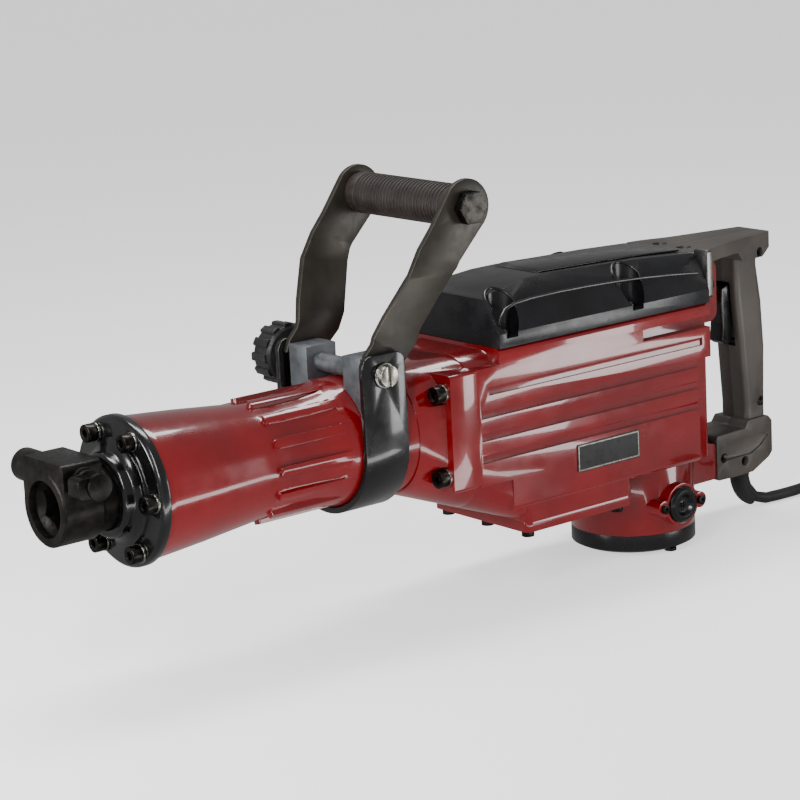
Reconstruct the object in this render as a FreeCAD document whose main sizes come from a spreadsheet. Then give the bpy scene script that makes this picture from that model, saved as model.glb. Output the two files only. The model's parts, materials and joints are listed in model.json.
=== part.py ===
import FreeCAD, Part
import math
import os
import Sketcher

# Electric jackhammer with a 30 mm hexagon tool socket.
#
# Every solid is drawn in "tool coordinates": X runs along the tool axis from the mouth of the tool
# holder (0) to the rear handle, +Z is up, and +Y is the side with the clamping knob.
# The finished nodes are then shifted together, so that the origin is the middle of the footprint,
# on the ground that the tool stands on.

V = FreeCAD.Vector
Turn = FreeCAD.Rotation
doc = FreeCAD.newDocument("jackhammer")
sheet = doc.addObject("Spreadsheet::Sheet", "sizes")
nodes = []


# ---------------------------------------------------------------- driving dimensions

class Size:
    """A number together with the spreadsheet expression that gives it."""

    def __init__(self, number, text):
        self.number = number
        self.text = text

    def __add__(self, other):
        return Size(self.number + number(other), "(%s + %s)" % (self.text, text(other)))

    def __radd__(self, other):
        return self + other

    def __sub__(self, other):
        return Size(self.number - number(other), "(%s - %s)" % (self.text, text(other)))

    def __rsub__(self, other):
        return Size(number(other) - self.number, "(%s - %s)" % (text(other), self.text))

    def __mul__(self, factor):
        return Size(self.number * factor, "(%s * %s)" % (self.text, text(factor)))

    def __rmul__(self, factor):
        return self * factor

    def __truediv__(self, divisor):
        return Size(self.number / divisor, "(%s / %s)" % (self.text, text(divisor)))

    def __neg__(self):
        return self * -1.0


def number(value):
    return value.number if isinstance(value, Size) else float(value)


def text(value):
    return value.text if isinstance(value, Size) else "%.6f" % value


def size(alias, value):
    """Adds one driving dimension to the sheet."""
    row = size.next_row
    size.next_row += 1
    sheet.set("A%d" % row, alias)
    sheet.set("B%d" % row, "%g" % value)
    sheet.setAlias("B%d" % row, alias)
    return Size(float(value), "sizes." + alias)


size.next_row = 1

# the whole tool
mid_x = size("middle_length", 352.5)
mid_y = size("middle_width", 2.5)
axis_height = size("axis_height", 144.0)
# tool holder and front cover
holder_r = size("holder_radius", 27.6)
holder_long = size("holder_length", 33.0)
mouth_r = size("mouth_radius", 20.6)
mouth_deep = size("mouth_depth", 6.0)
hex_flats = size("hexagon_across_flats", 30.0)
boss_half = size("boss_half_width", 27.0)
boss_top = size("boss_top", 35.0)
lock_x = size("lock_axis_x", 16.0)
lock_z = size("lock_axis_z", 21.5)
flange_r = size("flange_radius", 55.3)
flange_x = size("flange_rear", 69.1)
flange_face = size("flange_face", 61.1)
front_circle = size("front_bolt_circle", 46.7)
# barrel
waist_r = size("waist_radius", 43.4)
land_r = size("clamp_land_radius", 48.5)
joint_x = size("barrel_joint", 346.0)
ear_x = size("barrel_ear_front", 320.0)
# crankcase
half_w = size("case_half_width", 58.0)
core_half = size("core_half_width", 50.0)
case_top = size("case_top", 57.0)
case_low = size("case_bottom", -72.0)
sump_low = size("sump_bottom", -84.0)
sump_x = size("sump_front", 391.0)
case_rear = size("case_rear", 592.0)
core_rear = size("core_rear", 597.0)
# motor
motor_x = size("motor_axis", 555.0)
motor_r = size("motor_housing_radius", 51.0)
motor_bore = size("motor_bore_radius", 46.5)
tail_z = size("tail_joint", -126.4)
tail_low = size("tail_bottom", -141.5)
brush_z = size("brush_axis", -103.0)
# crank drive
bore_r = size("cylinder_bore_radius", 26.0)
throw = size("crank_throw", 26.0)
rod_long = size("rod_length", 118.0)
module_fast = size("module_fast", 1.5)
module_slow = size("module_slow", 2.0)
# clamp and bail handle
band_x = size("band_middle", 262.0)
band_wide = size("band_width", 40.0)
band_r = size("band_inner_radius", 49.0)
clamp_z = size("clamp_axis_height", 56.0)
grip_x = size("grip_axis_x", 337.0)
grip_z = size("grip_axis_z", 171.0)
grip_half = size("grip_half_length", 61.6)
# top cover
cover_x = size("cover_front", 370.0)
cover_top = size("cover_top", 101.3)
# rear handle
arm_top = size("arm_top", 95.0)
arm_under = size("arm_underside", 84.0)
foot_arm_top = size("foot_arm_top", -68.0)
foot_arm_low = size("foot_arm_bottom", -107.0)
shell_gap = size("shell_gap", 0.1)
# mains lead
lead_r = size("lead_radius", 4.75)
coil_x = size("coil_x", 862.0)
coil_y = size("coil_y", -63.0)
coil_r = size("coil_mean_radius", 52.0)
floor_z = size("floor_height", -144.0)


# ---------------------------------------------------------------- building blocks

TURNS = {"Z": Turn(), "X": Turn(V(0, 1, 0), 90), "Y": Turn(V(1, 0, 0), -90),
         "-Z": Turn(V(1, 0, 0), 180), "-X": Turn(V(0, 1, 0), -90), "-Y": Turn(V(1, 0, 0), 90)}


def bind(obj, prop, value):
    if isinstance(value, Size):
        obj.setExpression(prop, value.text)
    else:
        setattr(obj, prop, value)


def place(obj, at=(0, 0, 0), turn=None):
    obj.Placement = FreeCAD.Placement(V(*[number(value) for value in at]), turn or Turn())
    for axis, value in zip("xyz", at):
        if isinstance(value, Size):
            obj.setExpression("Placement.Base." + axis, value.text)
    return obj


def cylinder(radius, height, at=(0, 0, 0), axis="Z"):
    obj = doc.addObject("Part::Cylinder", "cylinder")
    bind(obj, "Radius", radius)
    bind(obj, "Height", height)
    return place(obj, at, TURNS[axis])


def cone(radius1, radius2, height, at=(0, 0, 0), axis="Z"):
    obj = doc.addObject("Part::Cone", "cone")
    bind(obj, "Radius1", radius1)
    bind(obj, "Radius2", radius2)
    bind(obj, "Height", height)
    return place(obj, at, TURNS[axis])


def prism(sides, radius, height, at=(0, 0, 0), axis="Z"):
    obj = doc.addObject("Part::Prism", "prism")
    obj.Polygon = sides
    bind(obj, "Circumradius", radius)
    bind(obj, "Height", height)
    return place(obj, at, TURNS[axis])


def box(x0, x1, y0, y1, z0, z1):
    obj = doc.addObject("Part::Box", "block")
    bind(obj, "Length", x1 - x0)
    bind(obj, "Width", y1 - y0)
    bind(obj, "Height", z1 - z0)
    return place(obj, (x0, y0, z0))


def fuse(*shapes):
    obj = doc.addObject("Part::MultiFuse", "fusion")
    obj.Shapes = list(shapes)
    obj.Refine = True
    return obj


def cut(base, *tools):
    obj = doc.addObject("Part::Cut", "cut")
    obj.Base = base
    obj.Tool = tools[0] if len(tools) == 1 else fuse(*tools)
    obj.Refine = True
    return obj


def common(*shapes):
    obj = doc.addObject("Part::MultiCommon", "common")
    obj.Shapes = list(shapes)
    obj.Refine = True
    return obj


def along(axis):
    """Picks the straight edges that run along one axis."""
    def pick(edge):
        if len(edge.Vertexes) != 2 or edge.Curve.TypeId != "Part::GeomLine":
            return False
        step = edge.Vertexes[1].Point - edge.Vertexes[0].Point
        return abs(abs(getattr(step, axis)) - step.Length) < 1e-6
    return pick


def rounded(obj, radius, pick=None):
    """Rounds the edges that the picking function chooses."""
    doc.recompute()
    fillet = doc.addObject("Part::Fillet", "fillet")
    fillet.Base = obj
    fillet.Edges = [(index, number(radius), number(radius))
                    for index, edge in enumerate(obj.Shape.Edges, 1) if pick is None or pick(edge)]
    return fillet


def copy_of(obj, at=(0, 0, 0), turn=None):
    link = doc.addObject("App::Link", "copy")
    link.LinkedObject = obj
    link.LinkTransform = True
    return place(link, at, turn)


def group(shapes):
    obj = doc.addObject("Part::Compound", "group")
    obj.Links = list(shapes)
    return obj


def mirrored_y(obj):
    mirror = doc.addObject("Part::Mirroring", "mirror")
    mirror.Source = obj
    mirror.Normal = V(0, 1, 0)
    return mirror


def sketch_in(body, role, outline):
    """Draws a closed outline in a body's own plane. An outline is a list of points (u, v), and
    a third and fourth value are a point that the arc to the next corner passes through."""
    sketch = body.newObject("Sketcher::SketchObject", "outline")
    plane = [item for item in body.Origin.OriginFeatures if item.Role == role][0]
    sketch.AttachmentSupport = [(plane, "")]
    sketch.MapMode = "FlatFace"
    corners = [V(number(point[0]), number(point[1]), 0) for point in outline]
    count = len(outline)
    ends = []
    for index, point in enumerate(outline):
        start, end = corners[index], corners[(index + 1) % count]
        if len(point) == 4:
            middle = V(number(point[2]), number(point[3]), 0)
            circle = Part.Circle(start, middle, end)
            clockwise = (middle - start).cross(end - middle).z < 0
            first, last = (end, start) if clockwise else (start, end)
            angles = [math.atan2(tip.y - circle.Center.y, tip.x - circle.Center.x) for tip in (first, last)]
            if angles[1] < angles[0]:
                angles[1] += 2 * math.pi
            upright = Part.Circle(circle.Center, V(0, 0, 1), circle.Radius)
            sketch.addGeometry(Part.ArcOfCircle(upright, *angles), False)
            ends.append((2, 1) if clockwise else (1, 2))
        else:
            sketch.addGeometry(Part.LineSegment(start, end), False)
            ends.append((1, 2))
    for index in range(count):
        following = (index + 1) % count
        sketch.addConstraint(Sketcher.Constraint("Coincident", index, ends[index][1],
                                                 following, ends[following][0]))
        for kind, value in (("DistanceX", outline[index][0]), ("DistanceY", outline[index][1])):
            row = sketch.addConstraint(Sketcher.Constraint(kind, -1, 1, index, ends[index][0],
                                                           number(value)))
            if isinstance(value, Size):
                sketch.setExpression("Constraints[%d]" % row, value.text)
    return sketch


def turned(outline, axis="X"):
    """A body of revolution about X from points (x, r), or about Z from points (r, z)."""
    body = doc.addObject("PartDesign::Body", "turned")
    sketch = sketch_in(body, "XZ_Plane", outline)
    turn = body.newObject("PartDesign::Revolution", "revolution")
    turn.Profile = sketch
    turn.ReferenceAxis = (sketch, ["H_Axis" if axis == "X" else "V_Axis"])
    turn.Angle = 360
    body.Tip = turn
    return body


def plate(role, outline, thickness, at=(0, 0, 0)):
    """An outline in one of the three planes, thickened evenly to both sides of the plane."""
    body = doc.addObject("PartDesign::Body", "plate")
    pad = body.newObject("PartDesign::Pad", "pad")
    pad.Profile = sketch_in(body, role, outline)
    bind(pad, "Length", thickness)
    pad.SideType = "Symmetric"
    body.Tip = pad
    return place(body, at)


def rounded_outline(half_y, z_low, z_high, corner):
    """A rectangle with round corners in the YZ plane."""
    k = 1 - math.sqrt(0.5)
    return [(-half_y + corner, z_low), (half_y - corner, z_low, half_y - k * corner, z_low + k * corner),
            (half_y, z_low + corner), (half_y, z_high - corner, half_y - k * corner, z_high - k * corner),
            (half_y - corner, z_high), (-half_y + corner, z_high, -half_y + k * corner, z_high - k * corner),
            (-half_y, z_high - corner), (-half_y, z_low + corner, -half_y + k * corner, z_low + k * corner)]


def node(label, obj, at=(0, 0, 0), turn=None):
    """Names a finished sub-part and moves it from tool coordinates to the part's own frame."""
    x, y, z = at
    place(obj, (x - mid_x, y - mid_y, z + axis_height), turn)
    obj.Label = label
    nodes.append(obj)
    return obj


def cap_screw(thread, reach, head_r, head_h, key):
    """A socket cap screw that points along -X from its seat at the origin."""
    metal = fuse(cylinder(thread, reach, axis="X"), cylinder(head_r, head_h, axis="-X"))
    socket = prism(6, key, head_h * 0.6, at=(-head_h, 0, 0), axis="X")
    return cut(metal, socket)


def around(count, radius, x, first=0.0):
    """Evenly spaced places on a circle about the tool axis."""
    angles = [math.radians(first + 360.0 * index / count) for index in range(count)]
    return [(x, radius * math.sin(angle), radius * math.cos(angle)) for angle in angles]


# ---------------------------------------------------------------- tool holder and front cover

def make_tool_holder():
    body = turned([(0, 0), (0, holder_r - 1.5), (1.5, holder_r), (holder_long - 1.5, holder_r),
                   (holder_long, holder_r - 1.5), (holder_long, 24), (flange_x + 0.4, 24),
                   (flange_x + 0.4, 33), (79, 33), (79, 29.5), (124, 29.5), (124, 0)])
    boss = rounded(box(0.8, holder_long - 0.8, -boss_half, boss_half, 0, boss_top), 5, along("x"))
    mouth = cylinder(mouth_r, mouth_deep, axis="X")
    lead = cone(mouth_r, hex_flats / 2, 5, at=(mouth_deep, 0, 0), axis="X")
    socket = prism(6, hex_flats / math.sqrt(3), 95, axis="X")
    guide = cylinder(17.6, 40, at=(90, 0, 0), axis="X")
    cross = cylinder(9.05, boss_half * 2 + 4, at=(lock_x, -boss_half - 2, lock_z), axis="Y")
    relief = cylinder(12.6, 8, at=(lock_x, boss_half - 0.5, lock_z), axis="Y")
    node("tool_holder", cut(fuse(body, boss), mouth, lead, socket, guide, cross, relief))


def make_tool_lock():
    rod = cylinder(9.0, 58, at=(0, -30, 0), axis="Y")
    collar = cylinder(10.6, 4, at=(0, -31.4, 0), axis="Y")
    lever = cylinder(9.4, 22, at=(0, -50, 0), axis="Y")
    key = rounded(box(-15.5, 4, -47, -33, -7.5, 7.5), 4, along("y"))
    notch = cylinder(18.0, 60, at=(-30, 0, lock_z), axis="X")
    flat = box(-11, 11, -46, -35.5, 5.5, 12)
    node("tool_lock", cut(fuse(rod, collar, lever, key), notch, flat), at=(lock_x, 0, lock_z))
    knob = turned([(28.2, 0), (28.2, 11.0), (29.2, 12.0), (48.5, 12.0), (50, 10.5), (50, 0)])
    pin = cylinder(5.0, 3.0, at=(48.5, 0, 0), axis="X")
    socket = prism(6, 2.9, 2.5, at=(49.2, 0, 0), axis="X")
    node("tool_lock_knob", cut(fuse(knob, pin), socket), at=(lock_x, 0, lock_z), turn=Turn(V(0, 0, 1), 90))


FRONT_BOLTS = around(6, front_circle, flange_face - 2, 30)


def make_front_cover():
    body = turned([(46, 24.4), (46, 29), (48, 31), (54, 31.5), (57, 35), (58.2, 37.6), (58.2, 39.2),
                   (flange_face, 39.2), (flange_face, 53), (63.4, flange_r), (flange_x, flange_r),
                   (flange_x, 24.4)])
    holes = [cylinder(4.2, 12, at=spot, axis="X") for spot in around(6, front_circle, 59, 30)]
    node("front_cover", cut(body, *holes))
    bolt = cap_screw(4.0, 26, 6.7, 8, 3.4)
    node("front_cover_bolts", group([copy_of(bolt, spot) for spot in FRONT_BOLTS]))


# ---------------------------------------------------------------- barrel and crankcase

def flare():
    """The casting that grows from the round barrel to the square crankcase."""
    body = doc.addObject("PartDesign::Body", "flare")
    small = sketch_in(body, "YZ_Plane", rounded_outline(49.3, -49.3, 49.3, 47.5))
    small.AttachmentOffset = FreeCAD.Placement(V(0, 0, 296), Turn())
    large = sketch_in(body, "YZ_Plane", rounded_outline(half_w - 0.4, sump_low + 1.0, case_top - 0.5, 16))
    large.AttachmentOffset = FreeCAD.Placement(V(0, 0, number(sump_x)), Turn())
    loft = body.newObject("PartDesign::AdditiveLoft", "loft")
    loft.Profile = small
    loft.Sections = [large]
    loft.Ruled = True
    body.Tip = loft
    return body


EAR_BOLTS = [(sign_y * 49.5, z) for sign_y in (-1, 1) for z in (31.0, -34.0)]


def make_barrel():
    outer = turned([(flange_x, 0), (flange_x, 53), (95, 50.9), (118, 48.9), (140, 46.6), (163, 44.2),
                    (186, waist_r), (210, 44.0), (228, 45.6), (242, land_r), (joint_x, land_r),
                    (joint_x, 0)])
    ears = rounded(box(ear_x, joint_x, -half_w, half_w, -46, 45), 3, along("x"))
    cast = fuse(outer, ears, common(flare(), box(280, joint_x, -80, 80, -100, 80)))
    ribs = []
    for index in range(14):
        rib = rounded(box(170, ear_x + 2, -3.6, 3.6, 36, 46.9), 2.4, along("z"))
        ribs.append(copy_of(rib, (0, 0, 0), Turn(V(1, 0, 0), (index + 0.5) * 360.0 / 14)))
    cast = fuse(cast, *ribs)
    counterbore = cylinder(33.2, 80 - flange_x, at=(flange_x, 0, 0), axis="X")
    bore = cylinder(30.2, joint_x, at=(flange_x, 0, 0), axis="X")
    taps = [cylinder(4.1, 22, at=spot, axis="X") for spot in around(6, front_circle, flange_x - 1, 30)]
    ends = [cylinder(4.2, 40, at=(310, y, z), axis="X") for y, z in EAR_BOLTS]
    seats = [cylinder(8.6, ear_x - 300, at=(300, y, z), axis="X") for y, z in EAR_BOLTS]
    node("barrel", cut(cast, counterbore, bore, *(taps + ends + seats)))
    bolt = cap_screw(4.0, 46, 6.7, 8, 3.4)
    node("barrel_bolts", group([copy_of(bolt, (ear_x - 2, y, z)) for y, z in EAR_BOLTS]))
    ring = cut(cylinder(7.0, 1.9, axis="X"), cylinder(4.15, 2, axis="X"))
    spots = FRONT_BOLTS + [(ear_x - 2, y, z) for y, z in EAR_BOLTS]
    node("washers", group([copy_of(ring, spot) for spot in spots]))


COVER_SCREWS = [(x, sign_y * 47.0) for x in (383.0, 514.0) for sign_y in (-1, 1)]
SUMP_SCREWS = [(x, y) for x in (399.0, 493.0) for y in (-48.0, 0.0, 48.0)]
ARM_SCREWS = [(608.0, -14.0), (608.0, 14.0)]


def side_channels():
    """Long grooves along the sides, with an air intake slot above them."""
    tools = []
    for side in (-1, 1):
        outer = half_w * side
        for z in (26.8, 9.5, -8.0, -25.0):
            front = 357 if z > 20 else 349
            slot = box(front, 583, -2.2, 2.2, z - 3.2, z + 3.2)
            place(slot, (front, outer - 2.2, z - 3.2))
            tools.append(slot)
        intake = box(518, 620, -9, 9, 37.5, 47)
        place(intake, (518, outer - 9, 37.5))
        tools.append(intake)
    return tools


def make_crankcase():
    block = rounded(box(joint_x, case_rear, -half_w, half_w, case_low, case_top), 5, along("x"))
    nose_low = box(joint_x - 1, 378, -70, 70, -90, -46)
    nose_high = box(joint_x - 1, 369, -70, 70, 45, 70)
    block = cut(block, nose_low, nose_high)
    core = rounded(box(580, core_rear, -core_half, core_half, case_low, case_top), 5, along("z"))
    barrel_side = common(flare(), box(joint_x, 400, -80, 80, -100, 80))
    sump = rounded(box(sump_x, 503, -half_w + 1, half_w - 1, sump_low, case_low + 6), 6, along("z"))
    motor = cylinder(motor_r, 26 - case_low, at=(motor_x, 0, case_low))
    lug = rounded(box(580, 632, -26, 26, 32, arm_under - 0.3), 9, along("y"))
    lug = cut(lug, box(560, 594.8, -40, 40, case_top, 90))
    cast = fuse(block, core, barrel_side, sump, motor, lug)
    step = [box(578, 640, y0, y1, -90, 13) for y0, y1 in ((-70, -core_half), (core_half, 70))]
    chamber = fuse(box(368, 500, -47, 47, -58, 44), box(396, 500, -49, 49, sump_low - 1, -57))
    gear_room = box(368, 526, -49, 49, 10, 44)
    pinion_room = fuse(cylinder(45, 14, at=(504, 0, 30)), cylinder(12, 14, at=(motor_x, 0, 30)))
    shaft_hole = cylinder(8, 30, at=(motor_x, 0, 10))
    bearing_seat = cylinder(14.05, 12, at=(motor_x, 0, 18.5))
    motor_hole = cylinder(motor_bore, 15 - case_low, at=(motor_x, 0, case_low))
    sleeve = cylinder(34.1, 30, at=(joint_x - 1, 0, 0), axis="X")
    crank_seat = cylinder(21.05, 11, at=(444, 0, 43))
    layshaft_seat = cylinder(13.05, 11, at=(504, 0, 43))
    layshaft_post = cut(cylinder(13.5, 10.5, at=(504, 0, 6.3)), cylinder(11.05, 20, at=(504, 0, 9.9)))
    bolts = [cylinder(4.2, 28, at=(joint_x - 2, y, z), axis="X") for y, z in EAR_BOLTS]
    wells = [cylinder(2.6, 16, at=(x, y, 42)) for x, y in COVER_SCREWS]
    arm_taps = [cylinder(3.05, 30, at=(x, y, 60)) for x, y in ARM_SCREWS]
    sump_taps = [cylinder(2.6, 30, at=(x, y, sump_low - 1)) for x, y in SUMP_SCREWS]
    feet = [cylinder(6.5, 44 - case_low, at=(x, y, case_low - 8)) for x, y in SUMP_SCREWS if abs(y) > 1]
    cast = cut(cast, chamber, gear_room, pinion_room, shaft_hole, bearing_seat, motor_hole, sleeve,
               crank_seat, layshaft_seat, *(step + side_channels()))
    cast = fuse(cast, layshaft_post, *[common(foot, box(364, 520, -57, 57, -90, -40)) for foot in feet])
    cast = cut(cast, *(bolts + wells + arm_taps + sump_taps))
    node("crankcase", cast)
    lid = rounded(box(sump_x, 503, -half_w + 1, half_w - 1, -92, sump_low), 6, along("z"))
    holes = [cylinder(3.2, 12, at=(x, y, -94)) for x, y in SUMP_SCREWS]
    node("sump_cover", cut(lid, *holes))
    screw = cap_screw(2.5, 20, 5.0, 5, 2.4)
    node("sump_screws", group([copy_of(screw, (x, y, -92), TURNS["-X"]) for x, y in SUMP_SCREWS]))


# ---------------------------------------------------------------- striking mechanism

pin_x = 444 - throw - rod_long          # the piston's pin at the front of its stroke


def make_cylinder():
    body = turned([(126, bore_r), (126, 29.9), (joint_x + 0.2, 29.9), (joint_x + 0.2, 34),
                   (joint_x + 16, 34), (joint_x + 16, bore_r)])
    node("hammer_cylinder", body)


def make_striking_parts():
    piston = turned([(-26, 0), (-26, 25.2), (-20, 25.2), (-20, 23.4), (-16.6, 23.4), (-16.6, 25.95),
                     (16, 25.95), (16, 20), (-13.6, 20), (-13.6, 0)])
    node("piston", cut(piston, cylinder(7.0, 60, at=(0, 0, -30))), at=(pin_x, 0, 0))
    node("piston_pin", cylinder(6.95, 48), at=(pin_x, 0, -24))
    striker = turned([(0, 0), (0, 14), (2, 16), (8, 16), (8, 24), (9, 25.95), (30, 25.95), (30, 23.4),
                      (33.2, 23.4), (33.2, 25.95), (78, 25.95), (80, 23), (80, 0)])
    node("striker", striker, at=(158, 0, 0))
    bolt = turned([(99, 0), (99, 15.5), (101, 17.55), (133, 17.55), (133, 25.7), (146, 25.7), (146, 15.7),
                   (156, 15.7), (157.7, 14), (157.7, 0)])
    node("impact_bolt", bolt)
    node("buffer_ring", turned([(146.2, 16.2), (146.2, 25.9), (155, 25.9), (155, 16.2)]))


def make_connecting_rod():
    big = cylinder(18, 22, at=(rod_long, 0, -11))
    small = cylinder(12.5, 20, at=(0, 0, -10))
    shank = rounded(box(6, rod_long - 12, -6.5, 6.5, -7.5, 7.5), 3, along("x"))
    pin_eye = cylinder(7.0, 30, at=(0, 0, -15))
    crank_eye = cylinder(9.0, 30, at=(rod_long, 0, -15))
    node("connecting_rod", cut(fuse(big, small, shank), pin_eye, crank_eye), at=(pin_x, 0, 0))
    crank_pin = fuse(cylinder(8.95, 25.5, at=(0, 0, -13)), cylinder(11.5, 1.8, at=(0, 0, -13.2)))
    node("crank_pin", crank_pin, at=(pin_x + rod_long, 0, 0))


def make_crankshaft():
    web = cylinder(40, 6, at=(0, 0, 13))
    shaft = cylinder(10, 35.5, at=(0, 0, 18))
    lighter = [cylinder(7, 8, at=(-14, y, 12)) for y in (-27, 27)]
    node("crankshaft", cut(fuse(web, shaft), *lighter), at=(444, 0, 0))


def gear(teeth, module, width, bore):
    """A spur gear with straight-sided teeth, thin enough to run with some backlash."""
    pitch_r = teeth * module / 2
    outline = []
    for tooth in range(teeth):
        middle = 2 * math.pi * tooth / teeth
        for radius, half in ((pitch_r - 1.3 * module, 0.33), (pitch_r + 0.9 * module, 0.115)):
            outline.append((radius, middle - half * 2 * math.pi / teeth))
        for radius, half in ((pitch_r + 0.9 * module, 0.115), (pitch_r - 1.3 * module, 0.33)):
            outline.append((radius, middle + half * 2 * math.pi / teeth))
    points = [V(radius * math.cos(angle), radius * math.sin(angle), 0) for radius, angle in outline]
    wheel = Part.Face(Part.makePolygon(points + points[:1])).extrude(V(0, 0, width))
    solid = doc.addObject("Part::Feature", "gear")
    solid.Shape = wheel.cut(Part.makeCylinder(bore, width)) if bore else wheel
    return solid


FAST_TEETH = (12, 56)
SLOW_TEETH = (18, 42)


def make_gears():
    fast, slow = number(module_fast), number(module_slow)
    half_tooth = 180.0 / FAST_TEETH[0]
    node("motor_pinion", gear(FAST_TEETH[0], fast, 10.4, 4.98), at=(motor_x, 0, 32.4),
         turn=Turn(V(0, 0, 1), half_tooth))
    node("layshaft_gear", gear(FAST_TEETH[1], fast, 8, 9.93), at=(504, 0, 33.6))
    half_tooth = 180.0 / SLOW_TEETH[0]
    pinion = copy_of(gear(SLOW_TEETH[0], slow, 12, 0), (0, 0, 21), Turn(V(0, 0, 1), half_tooth))
    shaft = fuse(cylinder(9.9, 12.8, at=(0, 0, 32.9)), cylinder(4.95, 43.4, at=(0, 0, 10.2)), pinion)
    node("layshaft", shaft, at=(504, 0, 0))
    node("crank_gear", gear(SLOW_TEETH[1], slow, 11, 10.02), at=(444, 0, 21.3))


def bearing(bore, outer, width, at):
    """A ball bearing: two rings, with the shielded balls as one ring between them."""
    inner_r, rim_r = bore + 0.25 * (outer - bore), outer - 0.22 * (outer - bore)
    inner = cut(cylinder(inner_r, width), cylinder(bore, width))
    rim = cut(cylinder(outer, width), cylinder(rim_r, width))
    shield = cut(cylinder(rim_r, width - 1.0, at=(0, 0, 0.5)), cylinder(inner_r, width))
    return copy_of(fuse(inner, rim, shield), at)


def make_bearings():
    node("crank_bearing", bearing(10.05, 21, 11, (0, 0, 0)), at=(444, 0, 42.95))
    node("layshaft_bearings", group([bearing(4.99, 13, 7.6, (504, 0, 46.2)),
                                     bearing(4.99, 11, 6, (504, 0, 10.0))]))
    node("motor_bearings", group([bearing(5.99, 14, 9, (motor_x, 0, 19)),
                                  bearing(4.99, 11, 8, (motor_x, 0, -137))]))


# ---------------------------------------------------------------- motor

BRUSH_EARS = (-20.0, 20.0)


def make_motor_housing():
    shell = cylinder(motor_r, case_low - tail_z, at=(0, 0, tail_z))
    boss = cylinder(17.5, 118, at=(0, -59, brush_z), axis="Y")
    ears = [cylinder(6.6, 118, at=(dx, -59, brush_z), axis="Y") for dx in BRUSH_EARS]
    web = rounded(box(-20, 20, -58, 58, brush_z - 6.6, brush_z + 6.6), 2, along("x"))
    lug = rounded(box(40, 77, -21, 21, -104, -73), 5, along("y"))
    tongue = box(70, 95, -9, 9, -96, -80)
    bore = cylinder(motor_bore, 80, at=(0, 0, tail_z - 1))
    holes = cylinder(9.1, 140, at=(0, -70, brush_z), axis="Y")
    sinks = cut(cylinder(15.2, 140, at=(0, -70, brush_z), axis="Y"),
                cylinder(30, 114, at=(0, -57, brush_z), axis="Y"))
    taps = [cylinder(1.9, 140, at=(dx, -70, brush_z), axis="Y") for dx in BRUSH_EARS]
    screw_hole = cylinder(2.1, 60, at=(86, -30, -88), axis="Y")
    cast = cut(fuse(shell, boss, *(ears + [web, lug, tongue])), bore, holes, sinks, screw_hole, *taps)
    node("motor_housing", cast, at=(motor_x, 0, 0))
    tail = turned([(0, tail_low), (46, tail_low), (48.5, tail_low + 1.2), (motor_r, tail_low + 2.5),
                   (motor_r, tail_z - 0.1), (46, tail_z - 0.1), (46, tail_low + 4), (14, tail_low + 4),
                   (14, -128.5), (11.05, -128.5), (11.05, -137.2), (0, -137.2)], "Z")
    slot = rounded(box(22, 40, -2, 2, tail_low - 1, tail_low + 6), 1.9, along("z"))
    vents = [copy_of(slot, turn=Turn(V(0, 0, 1), 360.0 * index / 16)) for index in range(16)]
    posts = [common(cylinder(5, 13, at=(0, y, tail_low + 2)), cylinder(46.1, 40, at=(0, 0, -150)))
             for y in (-43.5, 43.5)]
    sockets = [cylinder(2.6, 20, at=(0, y, tail_low - 2)) for y in (-43.5, 43.5)]
    node("tail_cover", cut(fuse(cut(tail, *vents), *posts), *sockets), at=(motor_x, 0, 0))
    small = cap_screw(1.8, 14, 3.6, 2.6, 1.6)
    large = cap_screw(2.5, 13, 5.0, tail_low - floor_z, 2.2)
    screws = [copy_of(small, (motor_x + dx, side * 59.1, brush_z), Turn(V(0, 0, 1), -90 * side))
              for side in (-1, 1) for dx in BRUSH_EARS]
    screws += [copy_of(large, (motor_x, y, tail_low), TURNS["-X"]) for y in (-43.5, 43.5)]
    node("motor_screws", group(screws))


def make_brushes():
    """The two carbon brushes with their springs, and the caps that close their bosses."""
    cap = fuse(turned([(57.1, 0), (57.1, 14.6), (60.5, 14.6), (62.6, 12.0), (62.6, 9.2), (58.8, 6.4),
                       (58.8, 2.2), (60.4, 2.0), (60.4, 0)]), cylinder(8.9, 8, at=(49.2, 0, 0), axis="X"))
    cap = cut(cap, box(58.9, 61, -0.7, 0.7, -6, 6))
    brush = box(17.3, 36, -4, 4, -4, 4)
    spring = cut(cylinder(3.2, 12.6, at=(36.2, 0, 0), axis="X"),
                 cylinder(2.2, 12.6, at=(36.2, 0, 0), axis="X"))
    sides = [Turn(V(0, 0, 1), angle) for angle in (90, -90)]
    spot = (motor_x, 0, brush_z)
    node("brush_caps", group([copy_of(cap, turn=side) for side in sides]), at=spot)
    node("brushes", group([copy_of(piece, turn=side) for side in sides for piece in (brush, spring)]),
         at=spot)


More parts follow.
